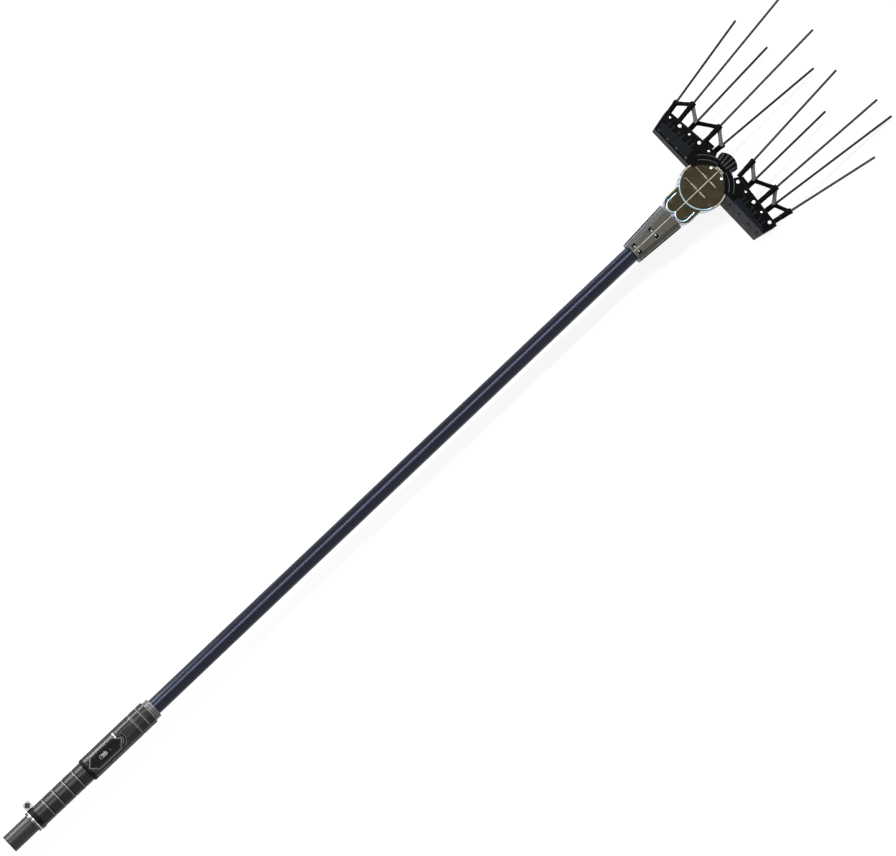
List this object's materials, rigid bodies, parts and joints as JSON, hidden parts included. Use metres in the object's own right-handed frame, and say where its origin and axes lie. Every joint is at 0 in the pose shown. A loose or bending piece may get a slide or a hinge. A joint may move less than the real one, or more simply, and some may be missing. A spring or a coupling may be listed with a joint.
{
  "type": "electric olive harvester",
  "caption": "Pole-mounted electric olive harvester: two combs of long rods swing in opposition on a round gearbox, driven by a geared motor in the neck, with a thumb switch on the handle.",
  "frame": {"origin": "centre of the tail cap's end face, on the pole's axis", "axes": "+X along the pole to the comb tips, +Z out of the round gearbox cover, +Y to the left comb"},
  "size_m": [2.2907, 0.3944, 0.1958],
  "materials": {
    "pole_paint": "semi-gloss navy",
    "grip_rubber": "matt",
    "housing_plastic": "fine texture",
    "cap_plastic": "smooth satin",
    "bright_steel": "bright",
    "bolt_steel": "satin",
    "bezel_plastic": "gloss",
    "lens_plastic": "clear gloss",
    "neck_alloy": "olive grey, satin",
    "base_alloy": "pale blue grey, polished",
    "cover_alloy": "olive brown, satin",
    "comb_plastic": "satin black",
    "rod_composite": "semi-gloss",
    "motor_steel": "satin",
    "magnet": "dull",
    "gear_steel": "machined",
    "bronze": "machined",
    "lever_alloy": "machined",
    "lead_rubber": "matt",
    "board": "matt"
  },
  "bodies": {
    "handle_and_gearbox": {"tail_cap": "cap_plastic", "inlet_socket": "bezel_plastic", "power_lead": "lead_rubber", "clamp_band": "bright_steel", "clamp_fasteners": "bolt_steel", "grip_sleeve": "grip_rubber", "switch_housing_upper": "housing_plastic", "switch_housing_lower": "housing_plastic", "switch_bezel": "bezel_plastic", "circuit_board": "board", "slide_switch": "bezel_plastic", "indicator_lenses": "lens_plastic", "housing_screws": "bolt_steel", "front_ferrule": "housing_plastic", "pole_tube": "pole_paint", "neck_shell_left": "neck_alloy", "neck_shell_right": "neck_alloy", "neck_fasteners": "bolt_steel", "motor_can": "motor_steel", "motor_end_cap": "housing_plastic", "motor_magnets": "magnet", "ring_gear": "gear_steel", "crank_bearing": "bronze", "gearbox_base": "base_alloy", "gearbox_cover": "cover_alloy", "cover_rim": "bright_steel", "lobe_trim": "bright_steel", "cover_screws": "bolt_steel", "pivot_shaft": "gear_steel", "nose_guard": "comb_plastic"},
    "thumb": {"thumb_slider": "bright_steel"},
    "rotor": {"motor_rotor": "magnet"},
    "crank": {"crank_shaft": "gear_steel", "eccentric_rollers": "gear_steel"},
    "planet_1": {"planet_gear_1": "gear_steel"},
    "planet_2": {"planet_gear_2": "gear_steel"},
    "planet_3": {"planet_gear_3": "gear_steel"},
    "left_comb": {"left_hub_lever": "lever_alloy", "left_hub_bush": "bronze", "left_comb_cover": "comb_plastic", "left_comb_base": "comb_plastic", "left_finger_frame": "comb_plastic", "left_comb_fasteners": "bolt_steel", "left_rod_1": "rod_composite", "left_rod_2": "rod_composite", "left_rod_3": "rod_composite", "left_rod_4": "rod_composite", "left_rod_5": "rod_composite"},
    "right_comb": {"right_hub_lever": "lever_alloy", "right_hub_bush": "bronze", "right_comb_cover": "comb_plastic", "right_comb_base": "comb_plastic", "right_finger_frame": "comb_plastic", "right_comb_fasteners": "bolt_steel", "right_rod_1": "rod_composite", "right_rod_2": "rod_composite", "right_rod_3": "rod_composite", "right_rod_4": "rod_composite", "right_rod_5": "rod_composite"}
  },
  "joints": [
    {"name": "left_comb_swing", "type": "hinge", "parent": "handle_and_gearbox", "child": "left_comb", "pos_m": [1.8816, 0, 0], "axis": [0, 0, 1], "range_deg": [-4, 4]},
    {"name": "right_comb_swing", "type": "hinge", "parent": "handle_and_gearbox", "child": "right_comb", "pos_m": [1.8816, 0, 0], "axis": [0, 0, 1], "range_deg": [-4, 4]},
    {"name": "motor_spin", "type": "hinge", "parent": "handle_and_gearbox", "child": "rotor", "pos_m": [1.7416, 0, 0], "axis": [1, 0, 0], "continuous": true},
    {"name": "crank_spin", "type": "hinge", "parent": "handle_and_gearbox", "child": "crank", "pos_m": [1.8116, 0, 0], "axis": [1, 0, 0], "continuous": true},
    {"name": "switch_slide", "type": "slide", "parent": "handle_and_gearbox", "child": "thumb", "axis": [1, 0, 0], "range_m": [0, 0.008]},
    {"name": "planet_1_spin", "type": "hinge", "parent": "crank", "child": "planet_1", "pos_m": [1.7801, 0, -0.01125], "axis": [1, 0, 0], "continuous": true},
    {"name": "planet_2_spin", "type": "hinge", "parent": "crank", "child": "planet_2", "pos_m": [1.7801, 0.00974, 0.00562], "axis": [1, 0, 0], "continuous": true},
    {"name": "planet_3_spin", "type": "hinge", "parent": "crank", "child": "planet_3", "pos_m": [1.7801, -0.00974, 0.00562], "axis": [1, 0, 0], "continuous": true}
  ],
  "couplings": [
    {"joint": "right_comb_swing", "follows": "left_comb_swing", "ratio": -1},
    {"joint": "crank_spin", "follows": "motor_spin", "ratio": 0.2},
    {"joint": "planet_1_spin", "follows": "motor_spin", "ratio": -0.53333},
    {"joint": "planet_2_spin", "follows": "motor_spin", "ratio": -0.53333},
    {"joint": "planet_3_spin", "follows": "motor_spin", "ratio": -0.53333}
  ]
}
